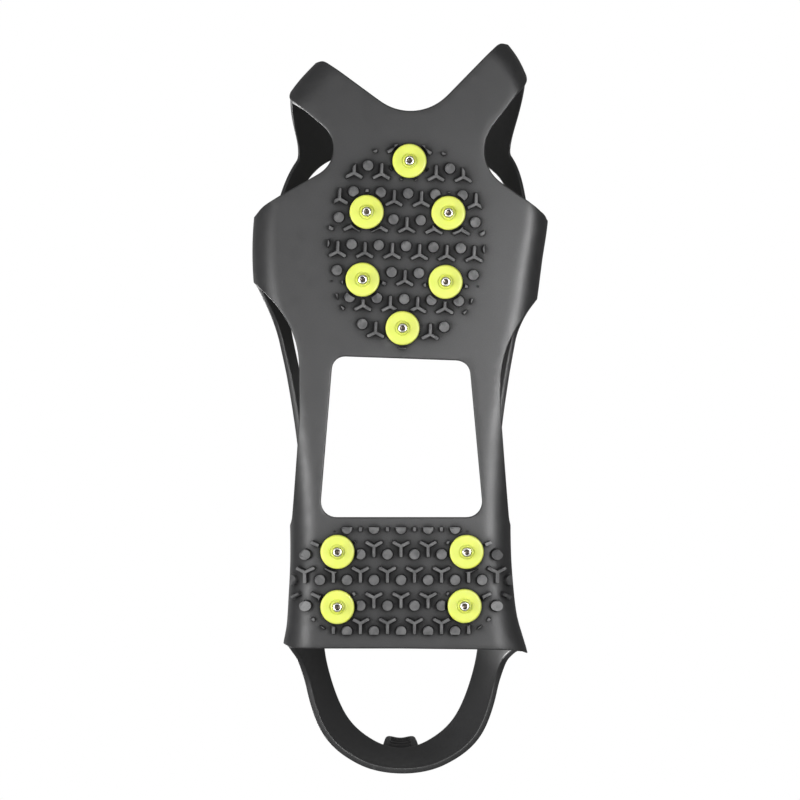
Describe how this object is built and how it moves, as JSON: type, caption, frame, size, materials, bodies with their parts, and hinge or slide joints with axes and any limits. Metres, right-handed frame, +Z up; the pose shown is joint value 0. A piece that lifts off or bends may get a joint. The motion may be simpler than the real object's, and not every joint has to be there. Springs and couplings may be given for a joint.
{
  "type": "shoe ice cleats",
  "caption": "Stretch rubber overshoe harness with a studded forefoot pad and heel pad, worn under a shoe for grip on ice and packed snow.",
  "frame": {"origin": "On the ground plane that the stud tips touch, under the middle of the object's box", "axes": "+Z up through the shoe, +Y toward the toe, +X toward the outer side of a right foot"},
  "size_m": [0.1155, 0.2886, 0.0866],
  "materials": {
    "harness_rubber": "satin moulded thermoplastic rubber, dark grey",
    "tread_rubber": "moulded rubber lugs, slightly glossier than the pads",
    "carrier_plastic": "fluorescent yellow-green moulded plastic",
    "stud_steel": "hardened steel, turned, with a cratered tip"
  },
  "bodies": {
    "harness": {"forefoot_pad": "harness_rubber", "heel_pad": "harness_rubber", "arch_bar_left": "harness_rubber", "arch_bar_right": "harness_rubber", "forefoot_tread": "tread_rubber", "heel_tread": "tread_rubber", "toe_strap_left": "harness_rubber", "toe_strap_right": "harness_rubber", "toe_band": "harness_rubber", "wing_left": "harness_rubber", "wing_right": "harness_rubber", "side_rim_left": "harness_rubber", "side_rim_right": "harness_rubber", "heel_wall_left": "harness_rubber", "heel_wall_right": "harness_rubber", "stud_carrier_1": "carrier_plastic", "stud_carrier_2": "carrier_plastic", "stud_carrier_3": "carrier_plastic", "stud_carrier_4": "carrier_plastic", "stud_carrier_5": "carrier_plastic", "stud_carrier_6": "carrier_plastic", "stud_carrier_7": "carrier_plastic", "stud_carrier_8": "carrier_plastic", "stud_carrier_9": "carrier_plastic", "stud_carrier_10": "carrier_plastic", "steel_stud_1": "stud_steel", "steel_stud_2": "stud_steel", "steel_stud_3": "stud_steel", "steel_stud_4": "stud_steel", "steel_stud_5": "stud_steel", "steel_stud_6": "stud_steel", "steel_stud_7": "stud_steel", "steel_stud_8": "stud_steel", "steel_stud_9": "stud_steel", "steel_stud_10": "stud_steel"},
    "heel_loop": {"heel_band": "harness_rubber", "pull_tab": "harness_rubber"}
  },
  "joints": [
    {"name": "heel_band_pull", "type": "slide", "parent": "harness", "child": "heel_loop", "axis": [0, -1, 0], "range_m": [0, 0.04], "stiffness_N_per_m": 600}
  ]
}
